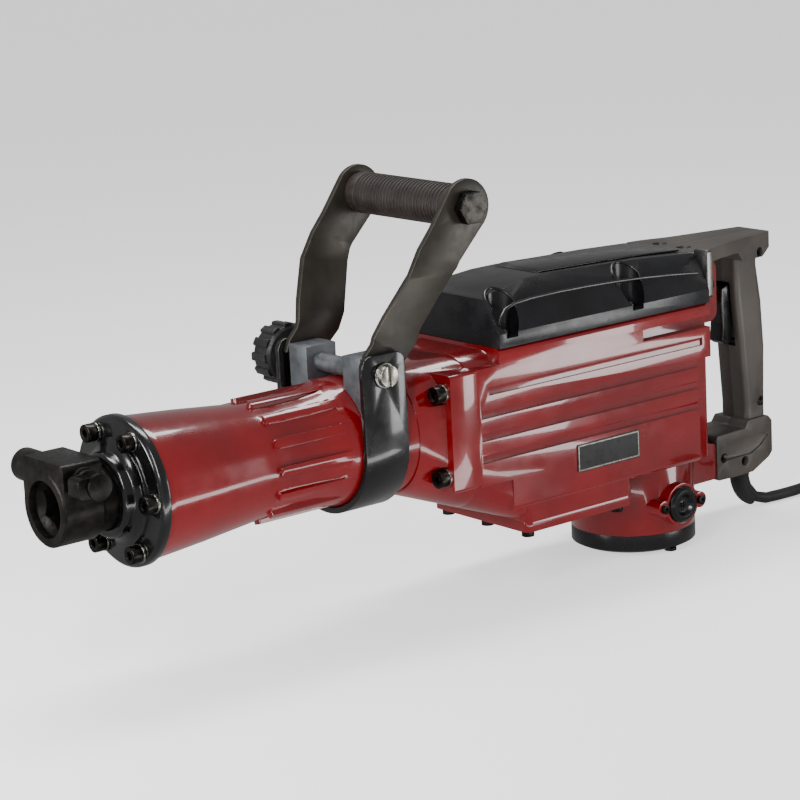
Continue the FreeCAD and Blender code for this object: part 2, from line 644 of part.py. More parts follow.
def make_motor():
    core = turned([(28.2, -75), (28.2, -12), (46.3, -12), (46.3, -75)], "Z")
    low_coil = turned([(30, -87), (30, -75.1), (43, -75.1), (43, -82), (38, -87)], "Z")
    top_coil = turned([(30, -11.9), (30, -6), (38, -6), (43, -8), (43, -11.9)], "Z")
    node("stator", group([core, low_coil, top_coil]), at=(motor_x, 0, 0))
    shaft = turned([(0, -136.9), (4.94, -136.9), (4.94, -125), (8, -125), (8, 18.6), (5.94, 18.6),
                    (5.94, 31.5), (4.94, 31.5), (4.94, 43.2), (0, 43.2)], "Z")
    node("armature_shaft", shaft, at=(motor_x, 0, 0))
    core = turned([(8.05, -73), (8.05, -14), (27.4, -14), (27.4, -73)], "Z")
    slot = box(19, 30, -1.2, 1.2, -74, -13)
    slots = [copy_of(slot, turn=Turn(V(0, 0, 1), 360.0 * index / 12)) for index in range(12)]
    node("armature_core", cut(core, *slots), at=(motor_x, 0, 0))
    ring = cut(cylinder(17, 20), cylinder(8.05, 20))
    gap = box(15, 18, -0.3, 0.3, -1, 21)
    gaps = [copy_of(gap, turn=Turn(V(0, 0, 1), 360.0 * index / 24)) for index in range(24)]
    node("commutator", cut(ring, *gaps), at=(motor_x, 0, -113))
    hub = cut(fuse(cylinder(40, 2.4), cylinder(13, 10)), cylinder(8.05, 10))
    blade = box(12, 40, -0.8, 0.8, 2, 10)
    blades = [copy_of(blade, turn=Turn(V(0, 0, 1), 360.0 * index / 12)) for index in range(12)]
    node("fan", fuse(hub, *blades), at=(motor_x, 0, -5))


# ---------------------------------------------------------------- clamp and bail handle

def make_clamp():
    strap = plate("YZ_Plane", [(-54, 72), (-54, 0, 0, -54), (54, 0), (54, 72), (band_r, 72),
                               (band_r, 0, 0, -49), (-band_r, 0), (-band_r, 72)], band_wide, (band_x, 0, 0))
    strap = rounded(strap, 9, along("y"))
    hole = cylinder(5.05, 120, at=(band_x, -60, clamp_z), axis="Y")
    node("clamp_band", cut(strap, hole))
    blocks = [box(248, 276, y0, y0 + 21.7, 20, 69) for y0 in (-43.7, 22)]
    tube = cylinder(7.0, 50, at=(band_x, -25, clamp_z), axis="Y")
    saddle = cut(fuse(*(blocks + [tube])), cylinder(band_r, 60, at=(230, 0, 0), axis="X"), hole)
    node("clamp_saddle", saddle)
    shank = cylinder(5.0, 136.5, at=(0, -60.5, 0), axis="Y")
    head = fuse(cylinder(9.5, 1.6, at=(0, -55.7, 0), axis="Y"), cylinder(8.2, 5, at=(0, -60.6, 0), axis="Y"))
    groove = box(-1.2, 1.2, -61, -58.6, -9, 9)
    node("clamp_bolt", cut(fuse(shank, head), groove), at=(band_x, 0, clamp_z))
    knob = turned([(55.4, 5.05), (55.4, 10), (58, 12), (60, 20), (62, 22.2), (78, 22.2), (80, 20),
                   (80, 5.05)])
    lobe = rounded(box(62, 79, -3.4, 3.4, 17, 24), 1.5, along("x"))
    lobes = [copy_of(lobe, turn=Turn(V(1, 0, 0), 30.0 * index)) for index in range(12)]
    node("clamp_knob", fuse(knob, *lobes), at=(band_x, 0, clamp_z), turn=Turn(V(0, 0, 1), 90))


def make_bail():
    front = plate("YZ_Plane", [(44, 62), (48.9, 62), (48.9, 83.5), (67, 127.5), (67, 195), (62, 195),
                               (62, 128.5), (44, 84.5)], 140, (310, 0, 0))
    side = plate("XZ_Plane", [(246, 62), (250, 72), (257, 79), (265, 99), (279, 126), (291, 146),
                              (303, 160), (320, 183.3, 354.5, 182.7), (350.2, 154.6), (328, 132),
                              (320, 120), (310, 99), (297, 72), (286, 62)], 160)
    hole = cylinder(5.5, 200, at=(grip_x, -100, grip_z), axis="Y")
    arm = cut(common(front, side), hole)
    node("bail_arm_left", copy_of(arm))
    node("bail_arm_right", mirrored_y(arm))
    outline = [(-grip_half, 6.0), (-grip_half, 15.0), (-grip_half + 4, 16.0), (-grip_half + 9, 16.0)]
    for index in range(26):
        groove = -grip_half + 9 + index * 4.0
        outline += [(groove, 15.2), (groove + 1.6, 15.2), (groove + 1.6, 16.0), (groove + 4.0, 16.0)]
    outline += [(grip_half - 4, 16.0), (grip_half, 15.0), (grip_half, 6.0)]
    node("bail_grip", turned(outline), at=(grip_x, 0, grip_z), turn=Turn(V(0, 0, 1), 90))
    shank = cylinder(5.4, 142, at=(0, -68, 0), axis="Y")
    head = rounded(prism(6, 13.2, 7.9, at=(0, -75, 0), axis="Y"), 0.6)
    nut = cut(prism(6, 11.6, 7, at=(0, 67.1, 0), axis="Y"), cylinder(5.45, 20, at=(0, 60, 0), axis="Y"))
    node("bail_bolt", group([fuse(shank, head), nut]), at=(grip_x, 0, grip_z))


# ---------------------------------------------------------------- top cover

def cover_solid(half, drop, front, rear):
    """The cover's outside, or its hollow: the same section at a smaller half width and height."""
    inset = 58 - half
    section = [(-half, 57.2), (half, 57.2), (half, 68 - inset / 2), (46 - inset, 90 - drop),
               (31 - inset, 101.5 - drop), (-31 + inset, 101.5 - drop), (-46 + inset, 90 - drop),
               (-half, 68 - inset / 2)]
    side = [(front, 56), (rear, 56), (rear, 95.2 - drop), (537, 98.5 - drop), (445, cover_top - drop),
            (420, 101 - drop), (385, 96 - drop), (front, 93 - drop)]
    return common(plate("YZ_Plane", section, 300, (481, 0, 0)), plate("XZ_Plane", side, 130))


def make_top_cover():
    hollow = cover_solid(55.4, 2.6, 372.6, 589.4)
    posts = [cylinder(15, 60, at=(x, y, 50)) for x, y in COVER_SCREWS]
    skirt = box(367, 373, -44, 44, 50, 57.3)
    shell = cut(cover_solid(58.0, 0.0, cover_x, 592), cut(hollow, *posts), skirt)
    wells = [cylinder(12.4, 60, at=(x, y, 64)) for x, y in COVER_SCREWS]
    holes = [cylinder(2.7, 30, at=(x, y, 50)) for x, y in COVER_SCREWS]
    tabs = [cylinder(3.2, 20, at=(580, y, 70), axis="X") for y in (-49, 49)]
    node("top_cover", cut(shell, *(wells + holes + tabs)))
    node("cover_panel", plate("XZ_Plane", [(438, 101.4), (447, 102.9), (537, 100.1), (591, 96.8),
                                           (591, 95.5), (537, 98.65), (445, 101.45)], 52))
    screw = cap_screw(2.6, 20, 4.8, 4, 2.2)
    node("cover_screws", group([copy_of(screw, (x, y, 64), TURNS["X"]) for x, y in COVER_SCREWS]))
    label = rounded(box(444, 510, -58.7, -58.1, -54, -32), 1.5, along("y"))
    node("nameplate", label)


# ---------------------------------------------------------------- rear handle

HANDLE_SCREWS = [(689, 79.5), (691.6, -48.9), (667, -95.8), (641, -88)]


def handle_solid():
    top_side = plate("XZ_Plane", [(595, arm_under), (658, arm_under), (664, 76), (693, 75), (705, 83),
                                  (705, arm_top), (595, arm_top)], 100)
    top_plan = plate("XY_Plane", [(595, -41), (600, -41), (611, -39), (634, -31), (703, -18), (705, -16),
                                  (705, 16), (703, 18), (634, 31), (611, 39), (600, 41), (595, 41)],
                     60, (0, 0, 85))
    low_side = plate("XZ_Plane", [(632.3, -106), (657, foot_arm_low), (677, foot_arm_low), (698, -98),
                                  (702, -94), (702, -67), (697, -62), (672, -62), (668, foot_arm_top),
                                  (632.3, foot_arm_top)], 100)
    low_plan = plate("XY_Plane", [(632.3, -22), (702, -18), (702, 18), (632.3, 22)], 60, (0, 0, -85))
    column = plate("XZ_Plane", [(674.5, -70), (674.5, -50), (670, 7), (665.5, 42), (664, 80), (664, 88),
                                (692, 88), (692, 68), (697, 37), (699.5, -2), (698, -54), (698, -70)], 31)
    column = rounded(column, 5, lambda edge: all(abs(abs(vertex.Y) - 15.5) < 0.01
                                                 for vertex in edge.Vertexes))
    return fuse(rounded(common(top_side, top_plan), 1.5, along("y")),
                rounded(common(low_side, low_plan), 2.5, along("y")), column)


def make_handle():
    solid = handle_solid()
    recess = plate("XZ_Plane", [(645, -91), (645, -75), (688, -75), (697, -79), (688, -86), (676, -91)], 60)
    sides = [place(copy_of(recess), (0, y, 0)) for y in (-47.2, 47.2)]
    cavities = [box(676.2, 692.4, -11.4, 11.4, 4, 50), box(650, 677, -8.4, 8.4, 1, 56),
                box(631, 650.4, -9.3, 9.3, -96.4, -79.6),
                cylinder(5.1, 40, at=(680, 0, -120)), cylinder(10.5, 6, at=(680, 0, -107)),
                cylinder(2.05, 24, at=(672, -12, 48), axis="Y"), cylinder(5.1, 14, at=(680, 0, -94))]
    for x, z in HANDLE_SCREWS:
        cavities += [cylinder(2.1, 26, at=(x, -13, z), axis="Y"), cylinder(4.2, 40, at=(x, -52, z), axis="Y")]
    for x, y in ARM_SCREWS:
        cavities += [cylinder(3.2, 20, at=(x, y, 80)), cylinder(6.2, 10, at=(x, y, 89))]
    solid = cut(solid, *(cavities + sides))
    node("handle_left", common(solid, box(590, 710, shell_gap, 60, -120, 110)))
    node("handle_right", common(copy_of(solid), box(590, 710, -60, -shell_gap, -120, 110)))
    small = cap_screw(2.0, 21, 3.8, 3, 1.7)
    screws = [copy_of(small, (x, -12, z), Turn(V(0, 0, 1), 90)) for x, z in HANDLE_SCREWS]
    mount = cap_screw(3.0, 22, 5.5, 4, 2.6)
    screws += [copy_of(mount, (x, y, 89), TURNS["X"]) for x, y in ARM_SCREWS]
    screws += [copy_of(mount, (598, y, 70), Turn(V(0, 0, 1), 180)) for y in (-49, 49)]
    node("handle_screws", group(screws))
    tabs = [cut(rounded(box(592.3, 598, y0, y0 + 15, 60, 99), 2.5, along("x")),
                cylinder(3.2, 20, at=(585, y0 + 7.5, 70), axis="X")) for y0 in (-56.5, 41.5)]
    node("handle_tabs", group(tabs))


def make_trigger():
    blade = plate("XZ_Plane", [(-16, 3), (-16.5, -8), (-15, -26), (-16.5, -41), (-12, -44), (-5, -43),
                               (-4, -20), (2, -7), (4.5, 0), (2, 5), (-8, 6)], 15)
    blade = rounded(blade, 1.5, lambda edge: all(abs(abs(vertex.Y) - 7.5) < 0.01 and vertex.X < -10
                                                 for vertex in edge.Vertexes))
    pivot = cylinder(2.0, 23, at=(0, -11.5, 0), axis="Y")
    node("trigger", fuse(blade, pivot), at=(672, 0, 48))
    switch = rounded(box(676.8, 692, -11, 11, 6, 40), 1.2, along("z"))
    node("switch", switch)


# ---------------------------------------------------------------- mains lead

LEAD = [(680, 0, -84), (680, 0, -139.25), (735, -8, -139.25), (784, -1.5, -139.25),
        (827.6, -1.5, -139.25)]
TAIL = [(827.5, -124.5, -110.75), (795, -124.5, -110.75), (765, -124.5, -129.75),
        (734, -124.5, -129.75)]


def route(points):
    """A wire of straight runs, with an arc at each corner that suits the shorter run beside it."""
    corners = [V(*point) for point in points]
    edges, here = [], corners[0]
    for before, corner, after in zip(corners, corners[1:], corners[2:]):
        back, ahead = before - corner, after - corner
        reach = 0.45 * min(back.Length, ahead.Length)
        back.normalize()
        ahead.normalize()
        half_turn = (math.pi - back.getAngle(ahead)) / 2
        radius = reach / math.tan(half_turn)
        inward = (back + ahead).normalize()
        middle = corner + inward * (radius / math.cos(half_turn) - radius)
        start, end = corner + back * reach, corner + ahead * reach
        edges += [Part.LineSegment(here, start).toShape(), Part.Arc(start, middle, end).toShape()]
        here = end
    edges.append(Part.LineSegment(here, corners[-1]).toShape())
    return Part.Wire(edges)


def tube(points, radius):
    """A round bar along a route."""
    path = doc.addObject("Part::Feature", "route")
    path.Shape = route(points)
    ring = doc.addObject("Part::Circle", "section")
    bind(ring, "Radius", radius)
    ring.Placement = FreeCAD.Placement(V(*points[0]), Turn(V(0, 0, 1), V(*points[1]) - V(*points[0])))
    sweep = doc.addObject("Part::Sweep", "tube")
    sweep.Sections = [ring]
    sweep.Spine = (path, [])
    sweep.Solid = True
    sweep.Frenet = False
    return sweep


def bend_section(angle, radius):
    """One round section of the cord guard, at an angle along the lead's first bend."""
    bend, top = 0.45 * (139.25 - 84), 139.25 - 0.45 * (139.25 - 84)
    swing = math.radians(angle)
    ring = doc.addObject("Part::Circle", "section")
    ring.Radius = radius
    ring.Placement = FreeCAD.Placement(
        V(680 + bend * (1 - math.cos(swing)), 0, -top - bend * math.sin(swing)),
        Turn(V(0, 0, 1), V(math.sin(swing), 0, -math.cos(swing))))
    return ring


def make_lead():
    guard = doc.addObject("Part::Loft", "guard")
    guard.Sections = [bend_section(angle, radius)
                      for angle, radius in ((0, 8.2), (16, 7.9), (32, 7.5), (48, 7.0), (64, 6.4))]
    guard.Solid = True
    neck = cone(9.4, 8.2, 8.5, at=(680, 0, -105.89), axis="-Z")
    flange = cylinder(10.2, 5.4, at=(680, 0, -106.8))
    node("cord_guard", cut(fuse(guard, neck, flange), tube(LEAD, lead_r + 0.1)))
    node("lead", group([tube(LEAD, lead_r), tube(TAIL, lead_r)]))
    inner, outer, low, high = coil_r - 14.25, coil_r + 14.25, floor_z, floor_z + 38
    soft = 4.75
    ring = turned([(inner, low + soft), (inner + soft, low), (outer - soft, low), (outer, low + soft),
                   (outer, high - soft), (outer - soft, high), (inner + soft, high),
                   (inner, high - soft)], "Z")
    place(ring, (coil_x, coil_y, 0))
    strap = cut(box(coil_x - 7, coil_x + 7, coil_y - outer - 1.5, coil_y - inner + 1.5, low, high + 1.5),
                box(coil_x - 8, coil_x + 8, coil_y - outer, coil_y - inner, low + 1.5, high))
    node("coil_tie", copy_of(strap))
    node("lead_coil", cut(ring, strap))
    plug = fuse(turned([(0, 0), (0, 5.6), (26, 8.5), (27, 16), (31, 19), (62, 19), (64, 17), (64, 0)]),
                cylinder(2.4, 19, at=(64, -9.5, 0), axis="X"), cylinder(2.4, 19, at=(64, 9.5, 0), axis="X"))
    plug = cut(plug, box(-1, 90, -30, 30, -40, -14.25))
    socket = cylinder(lead_r + 0.05, 16.4, axis="X")
    node("plug", cut(plug, socket), at=(750, -124.5, -129.75), turn=Turn(V(0, 0, 1), 180))


make_tool_holder()
make_tool_lock()
make_front_cover()
make_barrel()
make_crankcase()
make_cylinder()
make_striking_parts()
make_connecting_rod()
make_crankshaft()
make_gears()
make_bearings()
make_motor_housing()
make_brushes()
make_motor()
make_clamp()
make_bail()
make_top_cover()
make_handle()
make_trigger()
make_lead()


# ---------------------------------------------------------------- checks and files

doc.recompute()
for item in doc.Objects:
    if "Invalid" in item.State or "Error" in item.State:
        raise RuntimeError("%s (%s) failed: %s" % (item.Label, item.Name, item.State))
os.makedirs("parts", exist_ok=True)
for item in nodes:
    shape = item.Shape
    if shape.isNull() or not shape.isValid() or not shape.Solids:
        raise RuntimeError("%s has no valid solid" % item.Label)
    shape.exportStep("parts/%s.step" % item.Label)
    print("%-18s %2d solids %9.0f mm3" % (item.Label, len(shape.Solids), shape.Volume))
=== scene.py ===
# Looks of the electric jackhammer: finishes for the CAD pieces, softened castings and mouldings,
# the mains lead, and a plain studio.

import json
import math

import bmesh
import bpy
from mathutils import Matrix, Vector


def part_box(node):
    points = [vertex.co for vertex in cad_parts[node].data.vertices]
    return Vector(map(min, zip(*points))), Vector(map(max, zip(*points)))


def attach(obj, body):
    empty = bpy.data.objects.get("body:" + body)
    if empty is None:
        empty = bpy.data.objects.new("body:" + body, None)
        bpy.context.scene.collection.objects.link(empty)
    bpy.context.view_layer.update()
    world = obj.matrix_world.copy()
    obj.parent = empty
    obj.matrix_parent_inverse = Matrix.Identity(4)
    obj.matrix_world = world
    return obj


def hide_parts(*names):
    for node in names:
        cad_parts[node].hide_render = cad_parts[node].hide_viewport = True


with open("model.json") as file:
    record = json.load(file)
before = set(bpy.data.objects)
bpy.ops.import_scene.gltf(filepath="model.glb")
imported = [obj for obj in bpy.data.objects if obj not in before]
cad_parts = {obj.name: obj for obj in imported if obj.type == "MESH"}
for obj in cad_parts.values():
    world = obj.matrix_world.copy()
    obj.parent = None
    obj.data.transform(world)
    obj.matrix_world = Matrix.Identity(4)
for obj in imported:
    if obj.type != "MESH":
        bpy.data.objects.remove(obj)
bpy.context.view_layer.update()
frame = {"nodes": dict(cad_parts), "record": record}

bl_info = {
    "name": "Electric Jackhammer",
    "version": (1, 0, 0),
    "blender": (4, 5, 0),
    "location": "View3D > Sidebar > Jackhammer",
    "description": "Dresses the CAD model of an electric jackhammer for rendering",
    "category": "Object",
}

MM = 0.001
METRE = 1000
ROOT = "tool_body"

# The middle of the tool's footprint on the floor, in millimetres from the socket's mouth, on the axis.
ORIGIN = (352.5, 2.5, -144.0)


def place(x, y, z):
    """A point in tool coordinates (millimetres from the socket's mouth, on the axis), in metres."""
    return Vector(((x - ORIGIN[0]) * MM, (y - ORIGIN[1]) * MM, (z - ORIGIN[2]) * MM))


# ---------------------------------------------------------------- materials

# Noise lies near its middle, so the tones and the roughness are spread over these values.
TONE_SPAN = (0.35, 0.65)
GLOSS_SPAN = (0.3, 0.7)

# A wave texture of scale 1 repeats every 314 mm.
WAVE_REPEAT = 314

# The finishes made so far, by name.
FINISHES = {}


def linear(colour):
    """An sRGB hex colour as linear RGBA."""
    channels = [int(colour[index:index + 2], 16) / 255 for index in (1, 3, 5)]
    return [c / 12.92 if c <= 0.04045 else ((c + 0.055) / 1.055) ** 2.4 for c in channels] + [1.0]


def add(material, kind, inputs=None, **settings):
    """Adds a node. An input is a value, or another node's output to link."""
    tree = material.node_tree
    node = tree.nodes.new(kind)
    for name, value in settings.items():
        setattr(node, name, value)
    for name, value in (inputs or {}).items():
        if isinstance(value, bpy.types.NodeSocket):
            tree.links.new(value, node.inputs[name])
        else:
            node.inputs[name].default_value = value
    return node


def finish(name, tones, rough, patch, grain, relief, pattern=None, **sockets):
    """A skin whose tone and roughness drift over patches, with a finer grain that stands in relief.

    Tones are sRGB hex colours, or linear ones from the settings. Patch, grain and relief are in
    millimetres. A pattern takes the place of the grain. A skin that has been made is used again.
    """
    if name in FINISHES:
        return FINISHES[name]
    dark, light = (linear(tone) if isinstance(tone, str) else tone for tone in tones)
    material = bpy.data.materials.new(name)
    material.use_nodes = True
    material.node_tree.nodes.clear()
    coords = add(material, "ShaderNodeTexCoord").outputs["Object"]
    drift = add(material, "ShaderNodeTexNoise", {"Vector": coords, "Scale": METRE / patch, "Detail": 4.0})
    share = add(material, "ShaderNodeMapRange", {
        "Value": drift.outputs["Fac"], "From Min": TONE_SPAN[0], "From Max": TONE_SPAN[1]})
    tone = add(material, "ShaderNodeMix", {0: share.outputs[0], 6: dark, 7: light}, data_type="RGBA")
    rubbed = add(material, "ShaderNodeTexNoise", {
        "Vector": coords, "Scale": 4 * METRE / patch, "Detail": 6.0})
    gloss = add(material, "ShaderNodeMapRange", {
        "Value": rubbed.outputs["Fac"], "From Min": GLOSS_SPAN[0], "From Max": GLOSS_SPAN[1],
        "To Min": rough[0], "To Max": rough[1]})
    if pattern:
        skin = add(material, "ShaderNodeTexWave", {"Vector": coords, "Scale": WAVE_REPEAT / grain},
                   bands_direction=pattern)
    else:
        skin = add(material, "ShaderNodeTexNoise", {
            "Vector": coords, "Scale": METRE / grain, "Detail": 3.0})
    bump = add(material, "ShaderNodeBump", {"Height": skin.outputs["Fac"], "Distance": relief * MM,
                                            "Strength": 0.6})
    values = {"Base Color": tone.outputs[2], "Roughness": gloss.outputs[0], "Normal": bump.outputs[0]}
    values.update({socket.replace("_", " "): value for socket, value in sockets.items()})
    shader = add(material, "ShaderNodeBsdfPrincipled", values)
    add(material, "ShaderNodeOutputMaterial", {"Surface": shader.outputs["BSDF"]})
    FINISHES[name] = material
    return material


def red_enamel(colours):
    """Stoving enamel on die-cast aluminium: deep red under a wet gloss, with a little orange peel."""
    return finish("red_enamel", (colours.enamel, colours.enamel_light), (0.14, 0.24), 60, 3.2, 0.05,
                  Specular_IOR_Level=0.5, Coat_Weight=1.0, Coat_Roughness=0.04)


def black_enamel():
    """Gloss black enamel on turned steel: a dark mirror with faint orange peel."""
    return finish("black_enamel", ("#050506", "#0a0a0b"), (0.16, 0.3), 40, 2.6, 0.05,
                  Coat_Weight=0.6, Coat_Roughness=0.08)


def forged_steel():
    """Blackened forged steel: scale rubbed a little grey, on a slightly pitted skin."""
    return finish("forged_steel", ("#121110", "#2b2826"), (0.28, 0.46), 14, 2.0, 0.16, Metallic=0.8)


def black_oxide():
    """Black oxide on machined screws: dark metal with a thin oily sheen."""
    return finish("black_oxide", ("#232220", "#45423f"), (0.24, 0.38), 5, 1.0, 0.02, Metallic=1.0)


def bright_zinc():
    """Bright zinc plate: pale metal, softly dulled by handling."""
    return finish("bright_zinc", ("#8e8b84", "#b4b1a9"), (0.2, 0.38), 6, 1.0, 0.02, Metallic=1.0)


def bronze_coat(colours):
    """Satin dark bronze powder coat on steel plate: fine grain and a wide soft highlight."""
    return finish("bronze_powder_coat", (colours.bail, colours.bail_light), (0.32, 0.44), 32, 1.0, 0.04,
                  Metallic=0.45)


def grip_rubber():
    """Moulded grip rubber: warm black, dull, with a fine matt skin."""
    return finish("grip_rubber", ("#1c1512", "#2a211d"), (0.42, 0.56), 16, 0.9, 0.05)


def satin_nylon():
    """Black glass-filled nylon: satin from a lightly spark-eroded mould."""
    return finish("satin_black_nylon", ("#0b0b0d", "#131316"), (0.22, 0.34), 60, 1.0, 0.03)


def knob_phenolic():
    """Black phenolic: satin, its tone drifting a little in patches."""
    return finish("knob_phenolic", ("#151515", "#202020"), (0.3, 0.46), 12, 1.0, 0.04)


def grey_nylon(colours):
    """Dark warm grey nylon with a fine spark-eroded grain, as on tool handles."""
    return finish("grey_nylon", (colours.handle, colours.handle_light), (0.36, 0.48), 50, 1.0, 0.05)


def polished_abs():
    """Black ABS from a polished mould: smooth and bright."""
    return finish("polished_abs", ("#070708", "#0d0d0e"), (0.16, 0.28), 30, 4.0, 0.02)


def cast_alloy():
    """Bare die-cast alloy: matt grey with a sandy skin."""
    return finish("die_cast_alloy", ("#54575b", "#6b6e72"), (0.44, 0.62), 14, 1.5, 0.14, Metallic=0.7)


def plated_sheet():
    """Zinc-plated sheet steel: grey and evenly dull."""
    return finish("plated_sheet", ("#6f6e6b", "#868582"), (0.28, 0.42), 12, 1.5, 0.02, Metallic=1.0)


def label_foil():
    """Black printed aluminium foil: flat satin."""
    return finish("label_foil", ("#060607", "#0b0b0c"), (0.26, 0.36), 20, 2.0, 0.01)


def ground_steel():
    """Ground steel: bright metal with a fine random polish."""
    return finish("ground_steel", ("#8f8d89", "#a9a7a3"), (0.18, 0.32), 8, 1.0, 0.01, Metallic=1.0)


def laminations():
    """Stacked electrical sheet, drawn with a line every 2 mm because 0.5 mm is too fine to see."""
    return finish("laminated_sheet", ("#3f4044", "#515257"), (0.4, 0.55), 20, 2.0, 0.2, pattern="Z",
                  Metallic=0.8)


def turned_copper():
    """Turned copper segments, browned by the brushes."""
    return finish("turned_copper", ("#8a4a2c", "#b26a40"), (0.22, 0.36), 8, 1.0, 0.02, Metallic=1.0)


def pressed_carbon():
    """Pressed carbon: dull grey-black with a faint sheen of graphite."""
    return finish("pressed_carbon", ("#161617", "#232324"), (0.4, 0.58), 4, 0.8, 0.05, Metallic=0.3)


def sheath_rubber():
    """Vulcanised chloroprene sheath: matt black with a slight chalky bloom."""
    return finish("sheath_rubber", ("#0d0d0e", "#181819"), (0.48, 0.62), 25, 1.2, 0.06)


def woven_tape():
    """Woven hook-and-loop tape: black threads about a millimetre apart."""
    return finish("woven_tape", ("#0f0f11", "#1a1a1c"), (0.75, 0.9), 8, 1.2, 0.3, pattern="DIAGONAL",
                  Sheen_Weight=0.4)


def studio_paper():
    """Seamless white paper, glowing a little so that it stays pale in the distance."""
    return finish("studio_paper", ("#ececec", "#eeeeee"), (0.85, 0.95), 400, 1.0, 0.0,
                  Specular_IOR_Level=0.0, Emission_Color=linear("#ffffff"), Emission_Strength=0.9)


# ---------------------------------------------------------------- making pieces

SHARP_SHADING = math.radians(35)  # edges that turn more than this are shaded sharp
SHARP_EDGE = math.radians(28)  # edges that turn more than this are rounded
FLAT = math.radians(0.6)  # triangles that turn less than this from one another lie in one face
SAME_POINT = 0.01 * MM


def dress(nodes, material):
    """Gives CAD nodes a finish through their objects' material slots."""
    for name in nodes:
        obj = frame["nodes"][name]
        if not obj.material_slots:
            obj.data.materials.append(material)
        for slot in obj.material_slots:
            slot.link = "OBJECT"
            slot.material = material


def new_piece(name, mesh, material, body, stands_for=()):
    """Turns a bmesh into a finished piece that rides on a body."""
    data = bpy.data.meshes.new(name)
    bmesh.ops.recalc_face_normals(mesh, faces=mesh.faces)
    mesh.to_mesh(data)
    mesh.free()
    data.shade_smooth()
    data.set_sharp_from_angle(angle=SHARP_SHADING)
    data.materials.append(material)
    piece = bpy.data.objects.new(name, data)
    bpy.context.scene.collection.objects.link(piece)
    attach(piece, body)
    if stands_for:
        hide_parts(*stands_for)
    return piece


def body_of(node):
    """The moving body that a CAD node belongs to."""
    return next(body for body, names in frame["record"]["behaviour"]["bodies"].items() if node in names)


def softened(node, material, width, segments=2, reshape=None):
    """Replaces a CAD piece with a copy whose edges are rounded, as a casting's or moulding's are.

    The width of the rounding is in millimetres. Reshape, if given, changes the copy's mesh first.
    """
    mesh = bmesh.new()
    mesh.from_mesh(frame["nodes"][node].data)
    bmesh.ops.remove_doubles(mesh, verts=mesh.verts, dist=SAME_POINT)
    bmesh.ops.dissolve_degenerate(mesh, edges=mesh.edges, dist=SAME_POINT)
    bmesh.ops.dissolve_limit(mesh, angle_limit=FLAT, verts=mesh.verts, edges=mesh.edges)
    if reshape:
        reshape(mesh)
    sharp = [edge for edge in mesh.edges if edge.is_manifold and edge.calc_face_angle() > SHARP_EDGE]
    bmesh.ops.bevel(mesh, geom=sharp, offset=width * MM, offset_type="OFFSET", affect="EDGES",
                    segments=segments, profile=0.5, material=-1, clamp_overlap=True)
    bmesh.ops.triangulate(mesh, faces=[face for face in mesh.faces if len(face.verts) > 4])
    return new_piece(node + "_body", mesh, material, body_of(node), [node])


# ---------------------------------------------------------------- settings

class JackhammerLead(bpy.types.PropertyGroup):
    """Sizes of the mains lead."""
    diameter: bpy.props.FloatProperty(name="Diameter", description="Outside diameter of the rubber lead",
                                      default=0.0095, unit="LENGTH")
    length: bpy.props.FloatProperty(name="Length", description="Real length from the handle to the plug",
                                    default=4.12, unit="LENGTH")
    coil_radius: bpy.props.FloatProperty(name="Coil radius", description="Radius of the middle turns",
                                         default=0.052, unit="LENGTH")


def colour_property(name, description, default):
    """A colour that a user may change, from its sRGB hex value."""
    return bpy.props.FloatVectorProperty(name=name, description=description, default=linear(default),
                                         size=4, min=0.0, max=1.0, subtype="COLOR")


class JackhammerColours(bpy.types.PropertyGroup):
    """Colours of the castings, the bail's arms and the rear handle, which drift between two tones."""
    enamel: colour_property("Enamel", "Deeper tone of the enamelled castings", "#5e0106")
    enamel_light: colour_property("Enamel, light", "Lighter tone of the enamelled castings", "#6e0208")
    bail: colour_property("Bail", "Deeper tone of the bail's powder-coated arms", "#2c2924")
    bail_light: colour_property("Bail, light", "Lighter tone of the bail's powder-coated arms", "#38332c")
    handle: colour_property("Handle", "Deeper tone of the rear handle's nylon", "#36312d")
    handle_light: colour_property("Handle, light", "Lighter tone of the rear handle's nylon", "#433d38")


class JackhammerStudio(bpy.types.PropertyGroup):
    """Brightness of the studio lights."""
    key: bpy.props.FloatProperty(name="Key light", description="Power of the tall strip beside the camera",
                                 default=20.0, subtype="POWER")
    side: bpy.props.FloatProperty(name="Side light", description="Power of the low card beside the tail",
                                  default=1.6, subtype="POWER")
    top: bpy.props.FloatProperty(name="Top light", description="Power of the overhead softbox",
                                 default=22.0, subtype="POWER")
    low: bpy.props.FloatProperty(name="Low light", description="Power of the strip along the floor",
                                 default=1.6, subtype="POWER")
    front: bpy.props.FloatProperty(name="Front light", description="Power of the card before the socket",
                                   default=5.0, subtype="POWER")


# ---------------------------------------------------------------- castings and steel

class JACKHAMMER_OT_housing(bpy.types.Operator):
    """Barrel, crankcase, sump and motor housing in red enamel, with cast edges"""
    bl_idname = "jackhammer.housing"
    bl_label = "Housing"

    def execute(self, context):
        red = red_enamel(context.scene.jackhammer_colours)
        softened("barrel", red, 1.0)
        softened("crankcase", red, 0.9)
        softened("sump_cover", red, 1.6)
        softened("motor_housing", red, 1.0)
        return {"FINISHED"}


class JACKHAMMER_OT_front(bpy.types.Operator):
    """Front cover, tool holder and turning lock"""
    bl_idname = "jackhammer.front"
    bl_label = "Front end"

    def execute(self, context):
        softened("front_cover", black_enamel(), 0.7)
        steel = forged_steel()
        for node in ("tool_holder", "tool_lock", "tool_lock_knob"):
            softened(node, steel, 0.9)
        return {"FINISHED"}


